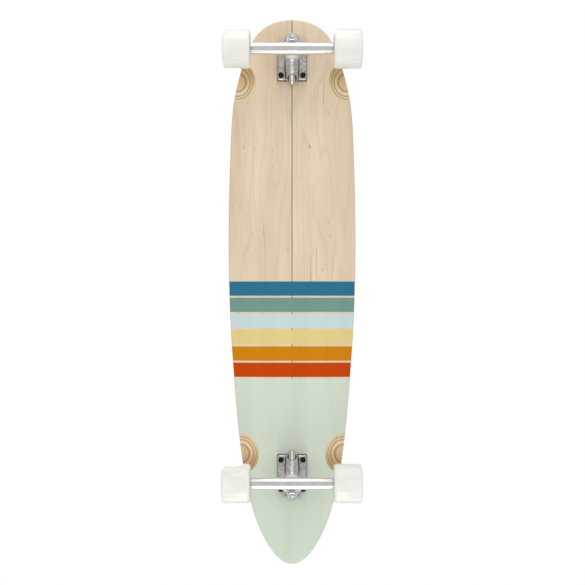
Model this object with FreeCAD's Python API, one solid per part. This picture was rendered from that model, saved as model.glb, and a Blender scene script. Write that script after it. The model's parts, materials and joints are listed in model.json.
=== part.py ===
import FreeCAD, Part
import math
import os

# A pintail longboard skateboard, standing on its four wheels.
# Millimetres, +Z up, nose towards -Y, origin on the floor under the middle of the deck.
# The rider faces the nose, so the left wheels are at +X.

# Deck: eight-ply board, flat along the middle, with sides that curve up
deck_length = 1016.0
deck_width = 237.6
deck_thickness = 11.5
deck_edge_radius = 3.0
concave_flat_width = 84.0
concave_rise = 6.5
# Outline stations from nose to tail, as shares of the length and of the half width
outline_length_shares = (0.019, 0.0448, 0.0925, 0.144, 0.2215, 0.388, 0.553, 0.700, 0.811, 0.899, 0.9655)
outline_width_shares = (0.483, 0.653, 0.803, 0.909, 0.9655, 1.0, 0.9715, 0.884, 0.781, 0.619, 0.370)
# Wheel wells, sanded as shallow dishes into the lower edge
well_sphere_radius = 140.0
well_depth = 5.2
well_inboard_of_axle = 43.0

# Grip tape on the top of the deck
grip_thickness = 0.8
grip_inset = 3.2

# Truck places along the board
nose_to_front_axle = 72.5
tail_to_rear_axle = 162.5

# Riser pad under each baseplate
riser_thickness = 3.0
riser_margin = 0.6

# Baseplate: heights are measured down from its seat on the riser pad
bolt_spacing_across = 41.3
bolt_spacing_along = 54.0
bolt_middle_inboard = 6.7
plate_side_margin = 6.55
plate_inboard_margin = 8.3
plate_outboard_margin = 21.6
plate_taper_margin = 3.2
plate_tip_width = 10.0
plate_thickness = 6.5
plate_corner_radius = 3.0
plate_bevel = 2.2
panel_width = 8.0
panel_end_gap = 8.0
panel_depth = 0.9

# Truck geometry: the axle and the kingpin line
axle_height = 66.0
kingpin_angle = 37.0
kingpin_to_axle = 20.0
ring_setback = 5.2

# Kingpin, its boss in the baseplate and its stack of washers and bushings
kingpin_radius = 4.75
kingpin_head_radius = 6.5
kingpin_head_length = 26.8
kingpin_head_clearance = 0.7
kingpin_roof_gap = 1.8
kingpin_hole_clearance = 0.15
kingpin_end_chamfer = 0.8
kingpin_end_reach = 0.8
kingpin_slot_depth = 12.0
boss_wall = 4.8
boss_length = 26.4
boss_collar_step = 2.0
boss_collar_length = 3.6
boss_end_slope = 77.0
boss_end_inset = 1.0
boss_web_width = 19.0
boss_web_foot = 5.0
boss_groove_width = 2.2
boss_groove_depth = 4.5
washer_rim = 1.0
tip_washer_rim = 0.6
washer_thickness = 1.5
washer_lip_height = 0.9
bushing_radius = 12.2
bushing_tip_radius = 10.0
bushing_bore_clearance = 0.2
bushing_lip_clearance = 0.3
bushing_edge_radius = 1.5
boardside_bushing_length = 15.8
roadside_bushing_length = 10.3
kingpin_nut_width = 14.3
kingpin_nut_height = 5.5
kingpin_nut_collar_height = 2.0
nut_chamfer = 0.8

# Hanger: a spindle-shaped beam with a ring for the bushings and a pivot nose
hanger_length = 174.0
hanger_end_radius = 8.75
hanger_middle_radius = 11.25
hanger_end_chamfer = 1.2
ring_wall = 3.9
ring_web_thickness = 6.0
ring_seat_depth = 2.5
ring_seat_clearance = 1.4
ring_hole_clearance = 2.45
yoke_span = 72.0
pivot_reach = 36.5
pivot_radius = 6.0
pivot_root_step = 3.5
pivot_taper_length = 16.0

# Pivot cup and its housing in the baseplate
cup_wall = 2.5
cup_clearance = 0.08
cup_mouth_reach = 33.0
housing_wall = 4.9
dome_reach = 33.6

# Mounting hardware
bolt_radius = 2.4
bolt_hole_clearance = 0.2
bolt_head_radius = 4.6
bolt_head_height = 2.6
bolt_socket_width = 3.2
bolt_socket_depth = 1.8
bolt_end_reach = 1.5
mounting_nut_width = 9.5
mounting_nut_height = 4.0
mounting_nut_collar_height = 2.0
grip_hole_clearance = 0.3

# Axle and its hardware
axle_radius = 4.0
axle_end_reach = 3.7
axle_end_chamfer = 0.8
axle_nut_width = 12.7
axle_nut_height = 4.8
axle_nut_collar_height = 2.2
speed_washer_rim = 1.5
speed_washer_thickness = 1.0
spacer_wall = 1.2
spacer_length = 10.3

# Ball bearings, two in each wheel
bearing_radius = 11.0
bearing_width = 7.0
inner_race_wall = 2.1
outer_race_wall = 2.0
race_groove_depth = 0.53
ball_count = 7
ball_clearance = 0.07
shield_thickness = 0.4
shield_inset = 0.35
shield_gap = 0.3
cage_wall = 1.6
cage_back = 0.25
cage_overlap = 0.2

# Wheel: a urethane tyre cast round a stiff core
wheel_radius = 35.0
wheel_width = 50.5
wheel_lip_radius = 5.0
wheel_lip_width = 7.5
wheel_dish_run = 4.5
wheel_dish_depth = 7.5
core_wall = 6.0
core_lip = 1.35
core_stop_step = 1.6
core_rim_groove_depth = 1.2
core_rim_groove_width = 2.0

# How far a cut runs past the face that it leaves
cut_overrun = 5.0
# An edge is upright, and a face is a wall, by this share of its direction along Z
upright_share = 0.5

half_length = deck_length / 2
half_width = deck_width / 2
seat_z = wheel_radius + axle_height
deck_bottom_z = seat_z + riser_thickness
deck_top_z = deck_bottom_z + deck_thickness
grip_top_z = deck_top_z + grip_thickness
concave_run = half_width - concave_flat_width / 2
concave_radius = (concave_run ** 2 + concave_rise ** 2) / (2 * concave_rise)

# Each truck's place along the board and the way that is outboard for it
trucks = {
    "front": (nose_to_front_axle - half_length, -1),
    "rear": (half_length - tail_to_rear_axle, 1),
}
plate_width = bolt_spacing_across + 2 * plate_side_margin
plate_inboard_reach = bolt_spacing_along / 2 + bolt_middle_inboard + plate_inboard_margin
plate_outboard_reach = bolt_spacing_along / 2 - bolt_middle_inboard + plate_outboard_margin
plate_taper_start = bolt_spacing_along / 2 - bolt_middle_inboard + plate_taper_margin
panel_length = bolt_spacing_along - 2 * panel_end_gap
bolt_hole_radius = bolt_radius + bolt_hole_clearance

x_axis = FreeCAD.Vector(1, 0, 0)
y_axis = FreeCAD.Vector(0, 1, 0)
z_axis = FreeCAD.Vector(0, 0, 1)
origin = FreeCAD.Vector(0, 0, 0)

# Along the kingpin line, measured from the middle of the hanger's ring:
# plus is towards the nut, minus is towards the domed head
ring_half_web = ring_web_thickness / 2
ring_half_depth = ring_half_web + ring_seat_depth
cup_washer_at = -(ring_half_web + boardside_bushing_length)
boss_seat_at = cup_washer_at - washer_thickness
tip_washer_at = ring_half_web + roadside_bushing_length
kingpin_nut_at = tip_washer_at + washer_thickness
kingpin_end_at = kingpin_nut_at + kingpin_nut_height + kingpin_nut_collar_height + kingpin_end_reach
head_seat_at = boss_seat_at - boss_length
kingpin_hole_radius = kingpin_radius + kingpin_hole_clearance
head_bore_radius = kingpin_head_radius + kingpin_head_clearance
boss_radius = head_bore_radius + boss_wall
ring_seat_radius = bushing_radius + ring_seat_clearance
ring_radius = ring_seat_radius + ring_wall
cup_bore_radius = pivot_radius + cup_clearance
cup_radius = cup_bore_radius + cup_wall
housing_radius = cup_radius + housing_wall

# In the truck's own frame: X across, Y outboard, Z away from the deck
kingpin_tilt = math.radians(kingpin_angle)
kingpin_line = FreeCAD.Vector(0, math.cos(kingpin_tilt), math.sin(kingpin_tilt))
pivot_line = FreeCAD.Vector(0, kingpin_line.z, -kingpin_line.y)
axle_point = FreeCAD.Vector(0, 0, axle_height)
ring_point = axle_point + pivot_line * kingpin_to_axle - kingpin_line * ring_setback
# Z of this frame is the kingpin line, and Y is the pivot line that the hanger leans about
kingpin_frame = FreeCAD.Placement(ring_point, FreeCAD.Rotation(x_axis, kingpin_angle - 90))

# Distances along the axle, out from the middle of the board
inner_washer_at = hanger_length / 2
inner_bearing_at = inner_washer_at + speed_washer_thickness
spacer_at = inner_bearing_at + bearing_width
outer_bearing_at = spacer_at + spacer_length
outer_washer_at = outer_bearing_at + bearing_width
axle_nut_at = outer_washer_at + speed_washer_thickness
axle_half_length = axle_nut_at + axle_nut_height + axle_nut_collar_height + axle_end_reach
wheel_middle = spacer_at + spacer_length / 2
bearing_places = (inner_bearing_at, outer_bearing_at)

inner_race_radius = axle_radius + inner_race_wall
outer_race_inner_radius = bearing_radius - outer_race_wall
ball_pitch_radius = (inner_race_radius + outer_race_inner_radius) / 2
ball_radius = (outer_race_inner_radius - inner_race_radius) / 2 + race_groove_depth
core_radius = bearing_radius + core_wall
core_half_width = spacer_length / 2 + bearing_width + core_lip


def save(shape, name):
    shape.exportStep("parts/" + name + ".step")


def moved(shape, placement):
    copy = shape.copy()
    copy.Placement = placement.multiply(copy.Placement)
    return copy


def shifted(shape, offset):
    return moved(shape, FreeCAD.Placement(offset, FreeCAD.Rotation()))


def cylinder(radius, low, high, axis=z_axis):
    return Part.makeCylinder(radius, high - low, axis * low, axis)


def tube(outer, inner, low, high):
    return cylinder(outer, low, high).cut(cylinder(inner, low - cut_overrun, high + cut_overrun))


def block(x_size, y_low, y_high, z_low, z_high):
    return Part.makeBox(x_size, y_high - y_low, z_high - z_low, FreeCAD.Vector(-x_size / 2, y_low, z_low))


def turned(profile, axis=z_axis):
    # A closed profile of (radius, distance along the axis) points, revolved about that axis
    points = [x_axis * radius + axis * along for radius, along in profile]
    return Part.Face(Part.makePolygon(points + points[:1])).revolve(origin, axis, 360)


def hex_prism(width, low, high):
    # A hexagonal bar, its width measured across the flats
    corner = x_axis * (width / math.sqrt(3))
    corners = [FreeCAD.Rotation(z_axis, step * 60).multVec(corner) + z_axis * low for step in range(7)]
    return Part.Face(Part.makePolygon(corners)).extrude(z_axis * (high - low))


def hex_nut(width, height, collar_height, bore_radius):
    # A hexagon with chamfered corners, and the round collar of a locking insert on top
    corner_radius = width / math.sqrt(3)
    round_off = corner_radius - nut_chamfer
    dome = turned([(0, 0), (round_off, 0), (corner_radius, nut_chamfer),
                   (corner_radius, height - nut_chamfer), (round_off, height), (0, height)])
    collar_top = height + collar_height
    nut = hex_prism(width, 0, height).common(dome).fuse(cylinder(width / 2 - nut_chamfer, 0, collar_top))
    return nut.cut(cylinder(bore_radius, -cut_overrun, collar_top + cut_overrun)).removeSplitter()


def outline_face(inset):
    # Half of the outline is a smooth curve through the stations, square to the centre line at both tips
    tips = (-half_length + inset, half_length - inset)
    stations = [FreeCAD.Vector(half_width * wide - inset, deck_length * far - half_length, 0)
                for far, wide in zip(outline_length_shares, outline_width_shares)]
    points = [FreeCAD.Vector(0, tips[0], 0)] + stations + [FreeCAD.Vector(0, tips[1], 0)]
    side = Part.BSplineCurve()
    side.interpolate(Points=points, InitialTangent=x_axis, FinalTangent=-x_axis, Scale=False)
    right = side.toShape()
    left = right.mirror(origin, x_axis)
    return Part.Face(Part.Wire([right, left])), right


def concave_slab(low, high):
    # The cross-section between two heights, carried from end to end of the board
    flat = concave_flat_width / 2
    centre_z = deck_bottom_z + concave_radius
    sweep = math.asin((concave_run + cut_overrun) / concave_radius)

    def half_arc(height):
        radius = centre_z - height
        return [FreeCAD.Vector(flat + radius * math.sin(sweep * share), -half_length - cut_overrun,
                               centre_z - radius * math.cos(sweep * share)) for share in (0, 0.5, 1)]

    def flipped(points):
        return [FreeCAD.Vector(-point.x, point.y, point.z) for point in points]

    below = half_arc(low)
    above = half_arc(high)
    edges = [Part.Arc(*below).toShape(),
             Part.LineSegment(below[2], above[2]).toShape(),
             Part.Arc(*above).toShape(),
             Part.LineSegment(above[0], flipped(above)[0]).toShape(),
             Part.Arc(*flipped(above)).toShape(),
             Part.LineSegment(flipped(above)[2], flipped(below)[2]).toShape(),
             Part.Arc(*flipped(below)).toShape(),
             Part.LineSegment(flipped(below)[0], below[0]).toShape()]
    section = Part.Face(Part.Wire(Part.__sortEdges__(edges)))
    return section.extrude(y_axis * (deck_length + 2 * cut_overrun))


def bolt_places(truck_y, outboard):
    far = [outboard * (end * bolt_spacing_along / 2 - bolt_middle_inboard) for end in (-1, 1)]
    return [FreeCAD.Vector(side * bolt_spacing_across / 2, truck_y + y, 0) for side in (-1, 1) for y in far]


def at_bolts(shape, truck_y, outboard):
    return [shifted(shape, place) for place in bolt_places(truck_y, outboard)]


def at_all_bolts(shape):
    return [copy for place in trucks.values() for copy in at_bolts(shape, *place)]


def is_upright(edge):
    middle = (edge.FirstParameter + edge.LastParameter) / 2
    return abs(edge.tangentAt(middle).z) > upright_share


def is_wall(face):
    low_u, high_u, low_v, high_v = face.ParameterRange
    return abs(face.normalAt((low_u + high_u) / 2, (low_v + high_v) / 2).z) < upright_share


def edge_half_width(side_edge, y):
    # Where the outline's curve crosses a line across the board
    line = Part.makeLine(FreeCAD.Vector(0, y, 0), FreeCAD.Vector(deck_width, y, 0))
    return side_edge.distToShape(line)[1][0][0].x


def make_deck():
    face, side_edge = outline_face(0)
    prism = face.extrude(z_axis * (deck_top_z + deck_width))
    board = concave_slab(deck_bottom_z, deck_top_z).common(prism)
    rim = [edge for face in board.Faces if is_wall(face) for edge in face.Edges if not is_upright(edge)]
    board = board.makeFillet(deck_edge_radius, rim)
    for truck_y, outboard in trucks.values():
        well_y = truck_y - outboard * well_inboard_of_axle
        well_x = edge_half_width(side_edge, well_y)
        # The sphere stands square to the curved underside, so that the dish is deepest at the rim
        tilt = math.asin((well_x - concave_flat_width / 2) / concave_radius)
        arc_to_centre = concave_radius - well_depth + well_sphere_radius
        well_z = deck_bottom_z + concave_radius - arc_to_centre * math.cos(tilt)
        out = concave_flat_width / 2 + arc_to_centre * math.sin(tilt)
        for side in (-1, 1):
            centre = FreeCAD.Vector(side * out, well_y, well_z)
            board = board.cut(Part.makeSphere(well_sphere_radius, centre))
    hole = cylinder(bolt_hole_radius, deck_bottom_z - cut_overrun, deck_top_z + cut_overrun)
    return board.cut(at_all_bolts(hole.fuse(bolt_head())))


def make_grip():
    prism = outline_face(grip_inset)[0].extrude(z_axis * (grip_top_z + deck_width))
    sheet = concave_slab(deck_top_z, grip_top_z).common(prism)
    hole_radius = bolt_head_radius + grip_hole_clearance
    return sheet.cut(at_all_bolts(cylinder(hole_radius, deck_top_z - cut_overrun, grip_top_z + cut_overrun)))


def bolt_head():
    # A countersunk head, flush with the top of the deck
    low = deck_top_z - bolt_head_height
    return Part.makeCone(bolt_radius, bolt_head_radius, bolt_head_height, FreeCAD.Vector(0, 0, low))


def make_bolt():
    nut_end = seat_z - plate_thickness - mounting_nut_height - mounting_nut_collar_height
    shank = cylinder(bolt_radius, nut_end - bolt_end_reach, deck_top_z)
    bolt = shank.fuse(bolt_head()).removeSplitter()
    return bolt.cut(hex_prism(bolt_socket_width, deck_top_z - bolt_socket_depth, deck_top_z + cut_overrun))


def plate_outline(margin):
    # A rectangle whose outboard end tapers round the pivot housing
    wide = plate_width / 2 + margin
    narrow = plate_tip_width / 2 + margin
    points = [FreeCAD.Vector(-wide, -plate_inboard_reach - margin, 0),
              FreeCAD.Vector(wide, -plate_inboard_reach - margin, 0),
              FreeCAD.Vector(wide, plate_taper_start, 0),
              FreeCAD.Vector(narrow, plate_outboard_reach + margin, 0),
              FreeCAD.Vector(-narrow, plate_outboard_reach + margin, 0),
              FreeCAD.Vector(-wide, plate_taper_start, 0)]
    return Part.Face(Part.makePolygon(points + points[:1]))


def rounded_plate(margin, low, high):
    plate = plate_outline(margin).extrude(z_axis * (high - low))
    plate = plate.makeFillet(plate_corner_radius, [edge for edge in plate.Edges if is_upright(edge)])
    return shifted(plate, z_axis * low)


def bolt_holes(low, high):
    return at_bolts(cylinder(bolt_hole_radius, low - cut_overrun, high + cut_overrun), 0, 1)


def make_riser():
    return rounded_plate(riser_margin, -riser_thickness, 0).cut(bolt_holes(-riser_thickness, 0))


def below_seat():
    reach = plate_inboard_reach + plate_outboard_reach
    return block(2 * plate_width, -reach, reach, -reach, 0)


def boss_end_cut():
    # Everything inboard of a sloping plane that trims the boss down to the plate's inboard edge
    reach = plate_inboard_reach + plate_outboard_reach
    slab = block(plate_width, -reach, 0, -reach, reach)
    start = FreeCAD.Vector(0, -plate_inboard_reach + boss_end_inset, plate_thickness)
    return moved(slab, FreeCAD.Placement(start, FreeCAD.Rotation(x_axis, boss_end_slope - 90)))


def make_baseplate():
    plate = rounded_plate(0, 0, plate_thickness)
    upper_edges = [edge for edge in plate.Edges if edge.BoundBox.ZMin > plate_thickness - plate_bevel / 2]
    plate = plate.makeChamfer(plate_bevel, upper_edges)
    panel_floor = plate_thickness - panel_depth
    panel_ends = (-bolt_middle_inboard - panel_length / 2, -bolt_middle_inboard + panel_length / 2)
    panel = block(panel_width, *panel_ends, panel_floor, plate_thickness)
    groove = block(boss_groove_width, *panel_ends, plate_thickness - boss_groove_depth, plate_thickness)
    groove_x = boss_radius + boss_groove_width / 2
    for side in (-1, 1):
        plate = plate.cut([shifted(panel, x_axis * side * (bolt_spacing_across / 2)),
                           shifted(groove, x_axis * side * groove_x)])

    long_boss = boss_length + plate_inboard_reach + plate_outboard_reach
    boss = cylinder(boss_radius, boss_seat_at - long_boss, boss_seat_at)
    collar = cylinder(boss_radius + boss_collar_step, boss_seat_at - boss_collar_length, boss_seat_at)
    # A web fills the room between the sloping boss and the plate
    seat_middle = ring_point + kingpin_line * boss_seat_at
    seat_corner = seat_middle + pivot_line * boss_radius
    web_points = [FreeCAD.Vector(0, -plate_inboard_reach, 0),
                  FreeCAD.Vector(0, seat_corner.y + boss_web_foot, 0), seat_corner, seat_middle,
                  ring_point + kingpin_line * (head_seat_at - kingpin_head_length)]
    web = Part.Face(Part.makePolygon(web_points + web_points[:1])).extrude(x_axis * boss_web_width)
    web = shifted(web, x_axis * (-boss_web_width / 2))
    boss = moved(boss.fuse(collar), kingpin_frame).fuse(web).cut(boss_end_cut()).cut(below_seat())

    # A round post with a domed top holds the pivot cup and is open towards the hanger
    dome_centre = ring_point + pivot_line * dome_reach
    post = shifted(cylinder(housing_radius, 0, dome_centre.z), y_axis * dome_centre.y)
    housing = post.fuse(Part.makeSphere(housing_radius, dome_centre))
    past_mouth = block(plate_width, -long_boss, cup_mouth_reach, -long_boss, long_boss)
    housing = housing.cut(moved(past_mouth, kingpin_frame)).cut(below_seat())

    body = plate.multiFuse([boss, housing]).removeSplitter()
    # The head lies in an arch that is open to the deck and leaves a gap above the head
    head_end = head_seat_at - long_boss
    head_bore = cylinder(head_bore_radius, head_end, head_seat_at)
    slot = block(2 * head_bore_radius, -kingpin_roof_gap, kingpin_slot_depth, head_end, head_seat_at)
    shank_bore = cylinder(kingpin_hole_radius, head_seat_at - cut_overrun, 0)
    for cut in (shifted(head_bore, y_axis * -kingpin_roof_gap), slot, shank_bore, cup_outside(0)):
        body = body.cut(moved(cut, kingpin_frame))
    return body.cut(bolt_holes(0, plate_thickness))


def cup_outside(low):
    # A straight socket with a round end
    end = Part.makeSphere(cup_radius, y_axis * pivot_reach, y_axis, 0, 90, 360)
    return cylinder(cup_radius, low, pivot_reach, y_axis).fuse(end)


def make_pivot_cup():
    # A lined socket whose round floor matches the tip of the pivot nose
    cup = cup_outside(cup_mouth_reach)
    cup = cup.cut(cylinder(cup_bore_radius, cup_mouth_reach - cut_overrun, pivot_reach, y_axis))
    return cup.cut(Part.makeSphere(cup_bore_radius, y_axis * pivot_reach))


def make_kingpin():
    # A plain shank with a chamfered end, and a long head that ends in a dome
    dome_at = head_seat_at - kingpin_head_length + kingpin_head_radius
    head = cylinder(kingpin_head_radius, dome_at, head_seat_at)
    dome = Part.makeSphere(kingpin_head_radius, z_axis * dome_at)
    shank = turned([(0, head_seat_at), (kingpin_radius, head_seat_at),
                    (kingpin_radius, kingpin_end_at - kingpin_end_chamfer),
                    (kingpin_radius - kingpin_end_chamfer, kingpin_end_at), (0, kingpin_end_at)])
    return head.multiFuse([dome, shank]).removeSplitter()


def make_cup_washer(face_at):
    # A dished washer: its floor presses on the bushing and its lip goes round the bushing's end
    hole = kingpin_hole_radius
    lip = bushing_radius + bushing_lip_clearance
    rim = lip + washer_rim
    back = face_at - washer_thickness
    front = face_at + washer_lip_height
    return turned([(hole, back), (rim, back), (rim, front), (lip, front), (lip, face_at), (hole, face_at)])


def make_tip_washer(face_at):
    # A small flat washer between the cone-shaped bushing and the nut
    rim = bushing_tip_radius + tip_washer_rim
    return tube(rim, kingpin_hole_radius, face_at, face_at + washer_thickness)


def make_bushing(low, high, low_radius, high_radius):
    bore = kingpin_radius + bushing_bore_clearance
    round_off = bushing_edge_radius
    return turned([(bore, low), (low_radius - round_off, low), (low_radius, low + round_off),
                   (high_radius, high - round_off), (high_radius - round_off, high), (bore, high)])


def make_hanger():
    half = hanger_length / 2
    spine = [FreeCAD.Vector(-half + hanger_end_chamfer, 0, hanger_end_radius),
             FreeCAD.Vector(0, 0, hanger_middle_radius),
             FreeCAD.Vector(half - hanger_end_chamfer, 0, hanger_end_radius)]
    inner_end = hanger_end_radius - hanger_end_chamfer
    corners = [spine[2], FreeCAD.Vector(half, 0, inner_end), FreeCAD.Vector(half, 0, 0),
               FreeCAD.Vector(-half, 0, 0), FreeCAD.Vector(-half, 0, inner_end), spine[0]]
    edges = [Part.Arc(*spine).toShape()]
    edges += [Part.makeLine(a, b) for a, b in zip(corners, corners[1:])]
    beam = shifted(Part.Face(Part.Wire(edges)).revolve(origin, x_axis, 360), axle_point)

    ring = cylinder(ring_radius, -ring_half_depth, ring_half_depth)
    yoke_points = [FreeCAD.Vector(-yoke_span / 2, -kingpin_to_axle, -ring_half_depth),
                   FreeCAD.Vector(yoke_span / 2, -kingpin_to_axle, -ring_half_depth),
                   FreeCAD.Vector(ring_radius, 0, -ring_half_depth),
                   FreeCAD.Vector(-ring_radius, 0, -ring_half_depth)]
    yoke = Part.Face(Part.makePolygon(yoke_points + yoke_points[:1])).extrude(z_axis * (2 * ring_half_depth))
    root_radius = pivot_radius + pivot_root_step
    taper_start = ring_radius - ring_seat_depth
    taper_end = taper_start + pivot_taper_length
    nose = turned([(0, 0), (root_radius, 0), (root_radius, taper_start), (pivot_radius, taper_end),
                   (pivot_radius, pivot_reach), (0, pivot_reach)], y_axis)
    nose = nose.fuse(Part.makeSphere(pivot_radius, y_axis * pivot_reach))
    ring = ring.multiFuse([yoke, nose])

    body = beam.fuse(moved(ring, kingpin_frame)).removeSplitter()
    hole_radius = kingpin_radius + ring_hole_clearance
    hole = cylinder(hole_radius, -ring_half_web - cut_overrun, ring_half_web + cut_overrun)
    roadside_seat = cylinder(ring_seat_radius, ring_half_web, kingpin_nut_at)
    boardside_seat = cylinder(ring_seat_radius, boss_seat_at, -ring_half_web)
    body = body.cut([moved(cut, kingpin_frame) for cut in (hole, roadside_seat, boardside_seat)])
    axle_bore = cylinder(axle_radius, -half - cut_overrun, half + cut_overrun, x_axis)
    return body.cut(shifted(axle_bore, axle_point))


def make_axle():
    half = axle_half_length
    small = axle_radius - axle_end_chamfer
    return turned([(0, -half), (small, -half), (axle_radius, -half + axle_end_chamfer),
                   (axle_radius, half - axle_end_chamfer), (small, half), (0, half)])


def race_groove(middle):
    return Part.makeTorus(ball_pitch_radius, ball_radius + ball_clearance, z_axis * middle, z_axis)


def make_inner_race(low):
    race = tube(inner_race_radius, axle_radius, low, low + bearing_width)
    return race.cut(race_groove(low + bearing_width / 2))


def make_outer_race(low):
    race = tube(bearing_radius, outer_race_inner_radius, low, low + bearing_width)
    return race.cut(race_groove(low + bearing_width / 2))


def make_shields(low):
    inner = inner_race_radius + shield_gap
    near = low + shield_inset
    far = low + bearing_width - shield_inset - shield_thickness
    return [tube(outer_race_inner_radius, inner, start, start + shield_thickness) for start in (near, far)]


def ball_centres(low):
    first = FreeCAD.Vector(ball_pitch_radius, 0, low + bearing_width / 2)
    return [FreeCAD.Rotation(z_axis, 360 * i / ball_count).multVec(first) for i in range(ball_count)]


def make_balls(low):
    return [Part.makeSphere(ball_radius, centre) for centre in ball_centres(low)]


def make_cage(low):
    # A crown: a ring beside the balls, with an open pocket for each one
    middle = low + bearing_width / 2
    pocket = ball_radius + ball_clearance
    ring = tube(ball_pitch_radius + cage_wall / 2, ball_pitch_radius - cage_wall / 2,
                middle - cage_overlap, middle + pocket + cage_back)
    for centre in ball_centres(low):
        ring = ring.cut(Part.makeSphere(pocket, centre))
    return ring


def make_tyre():
    # Outer lip, rolling face and dished sides, revolved about the axle
    half = wheel_width / 2
    lip = wheel_lip_radius
    bend = lip * (1 - math.sqrt(0.5))

    def point(radius, along):
        return FreeCAD.Vector(radius, 0, along)

    def side_edges(sign):
        tread = point(wheel_radius, sign * (half - lip))
        corner = point(wheel_radius - bend, sign * (half - bend))
        face = point(wheel_radius - lip, sign * half)
        rim = point(wheel_radius - wheel_lip_width, sign * half)
        dish = point(wheel_radius - wheel_lip_width - wheel_dish_run, sign * (half - wheel_dish_depth))
        hub = point(core_radius, sign * core_half_width)
        return [Part.Arc(tread, corner, face).toShape(), Part.makeLine(face, rim),
                Part.makeLine(rim, dish), Part.makeLine(dish, hub)], tread, hub

    low_edges, low_tread, low_hub = side_edges(-1)
    high_edges, high_tread, high_hub = side_edges(1)
    edges = low_edges + high_edges + [Part.makeLine(low_tread, high_tread), Part.makeLine(low_hub, high_hub)]
    profile = Part.Face(Part.Wire(Part.__sortEdges__(edges)))
    return shifted(profile.revolve(origin, z_axis, 360), z_axis * wheel_middle)


def make_core():
    # Two bearing seats with a stop between them, and a shallow groove round each rim
    half = core_half_width
    stop = spacer_length / 2
    stop_radius = bearing_radius - core_stop_step
    groove_middle = (bearing_radius + core_radius) / 2
    groove_in = groove_middle - core_rim_groove_width / 2
    groove_out = groove_middle + core_rim_groove_width / 2
    floor = half - core_rim_groove_depth
    core = turned([(stop_radius, -stop), (bearing_radius, -stop), (bearing_radius, -half),
                   (groove_in, -half), (groove_in, -floor), (groove_out, -floor), (groove_out, -half),
                   (core_radius, -half), (core_radius, half),
                   (groove_out, half), (groove_out, floor), (groove_in, floor), (groove_in, half),
                   (bearing_radius, half), (bearing_radius, stop), (stop_radius, stop)])
    return shifted(core, z_axis * wheel_middle)


def on_both_ends(shapes, truck_y):
    placed = [moved(shape, axle_end(truck_y, side)) for side in (-1, 1) for shape in shapes]
    return Part.makeCompound(placed)


def axle_end(truck_y, side):
    # Z of a wheel piece points out along the axle, to +X on the left and -X on the right
    return FreeCAD.Placement(FreeCAD.Vector(0, truck_y, wheel_radius), FreeCAD.Rotation(y_axis, side * 90))


def truck_frame(truck_y, outboard):
    # The truck's own frame turned over, so that its heights hang down from the deck
    flip = FreeCAD.Rotation(y_axis, 180) if outboard > 0 else FreeCAD.Rotation(x_axis, 180)
    return FreeCAD.Placement(FreeCAD.Vector(0, truck_y, seat_z), flip)


def build_truck(name, truck_y, outboard):
    frame = truck_frame(truck_y, outboard)
    stack = frame.multiply(kingpin_frame)
    save(moved(make_riser(), frame), name + "_riser_pad")
    save(moved(make_baseplate(), frame), name + "_baseplate")
    save(moved(make_pivot_cup(), stack), name + "_pivot_cup")
    save(moved(make_kingpin(), stack), name + "_kingpin")
    washers = [make_cup_washer(cup_washer_at), make_tip_washer(tip_washer_at)]
    save(Part.makeCompound([moved(washer, stack) for washer in washers]), name + "_bushing_washers")
    boardside = make_bushing(cup_washer_at, -ring_half_web, bushing_radius, bushing_radius)
    roadside = make_bushing(ring_half_web, tip_washer_at, bushing_radius, bushing_tip_radius)
    save(moved(boardside, stack), name + "_boardside_bushing")
    save(moved(roadside, stack), name + "_roadside_bushing")
    kingpin_nut = hex_nut(kingpin_nut_width, kingpin_nut_height, kingpin_nut_collar_height, kingpin_radius)
    save(moved(shifted(kingpin_nut, z_axis * kingpin_nut_at), stack), name + "_kingpin_nut")

    save(Part.makeCompound(at_bolts(make_bolt(), truck_y, outboard)), name + "_mounting_bolts")
    nut = hex_nut(mounting_nut_width, mounting_nut_height, mounting_nut_collar_height, bolt_radius)
    nuts = at_bolts(shifted(nut, z_axis * plate_thickness), 0, 1)
    save(moved(Part.makeCompound(nuts), frame), name + "_mounting_nuts")

    save(moved(make_hanger(), frame), name + "_hanger")
    save(moved(make_axle(), axle_end(truck_y, 1)), name + "_axle")
    axle_nut = hex_nut(axle_nut_width, axle_nut_height, axle_nut_collar_height, axle_radius)
    save(on_both_ends([shifted(axle_nut, z_axis * axle_nut_at)], truck_y), name + "_axle_nuts")
    speed_washers = [tube(axle_radius + speed_washer_rim, axle_radius, start, start + speed_washer_thickness)
                     for start in (inner_washer_at, outer_washer_at)]
    save(on_both_ends(speed_washers, truck_y), name + "_speed_washers")
    inner_races = [make_inner_race(low) for low in bearing_places]
    save(on_both_ends(inner_races, truck_y), name + "_bearing_inner_races")
    spacer = tube(axle_radius + spacer_wall, axle_radius, spacer_at, spacer_at + spacer_length)
    save(on_both_ends([spacer], truck_y), name + "_bearing_spacers")


def build_wheel(name, truck_y, side):
    place = axle_end(truck_y, side)

    def group(shapes):
        return Part.makeCompound([moved(shape, place) for shape in shapes])

    save(moved(make_tyre(), place), name + "_tyre")
    save(moved(make_core(), place), name + "_core")
    save(group([make_outer_race(low) for low in bearing_places]), name + "_bearing_outer_races")
    shields = [shield for low in bearing_places for shield in make_shields(low)]
    save(group(shields), name + "_bearing_shields")
    save(group([ball for low in bearing_places for ball in make_balls(low)]), name + "_bearing_balls")
    save(group([make_cage(low) for low in bearing_places]), name + "_bearing_cages")


os.makedirs("parts", exist_ok=True)
save(make_deck(), "deck")
save(make_grip(), "grip_tape")
for truck_name, (truck_y, outboard) in trucks.items():
    build_truck(truck_name, truck_y, outboard)
    build_wheel(truck_name + "_left", truck_y, 1)
    build_wheel(truck_name + "_right", truck_y, -1)
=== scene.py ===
import json
import math

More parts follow.
